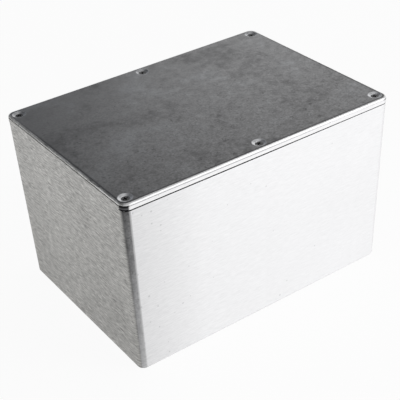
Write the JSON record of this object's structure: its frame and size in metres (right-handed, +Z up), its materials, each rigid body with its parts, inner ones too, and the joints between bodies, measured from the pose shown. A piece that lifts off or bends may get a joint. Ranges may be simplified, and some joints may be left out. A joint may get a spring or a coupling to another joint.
{
  "type": "die cast aluminium box",
  "caption": "Deep rectangular die cast enclosure with drafted walls and a rounded screw-down lid, for housing electronics.",
  "frame": {"origin": "middle of the underside, on the surface that the box stands on", "axes": "+X along the length, +Y across from the front long side to the back one, +Z up through the lid"},
  "size_m": [0.1714, 0.1212, 0.105],
  "materials": {
    "linished_casting": "die cast, linished outside with a fine belt grain",
    "as_cast_lid": "as cast, dull and mottled",
    "black_screw": "blackened steel, dull"
  },
  "bodies": {
    "root": {"box_body": "linished_casting", "lid": "as_cast_lid", "lid_screw_front_left": "black_screw", "lid_screw_front_middle": "black_screw", "lid_screw_front_right": "black_screw", "lid_screw_back_left": "black_screw", "lid_screw_back_middle": "black_screw", "lid_screw_back_right": "black_screw"}
  },
  "joints": []
}
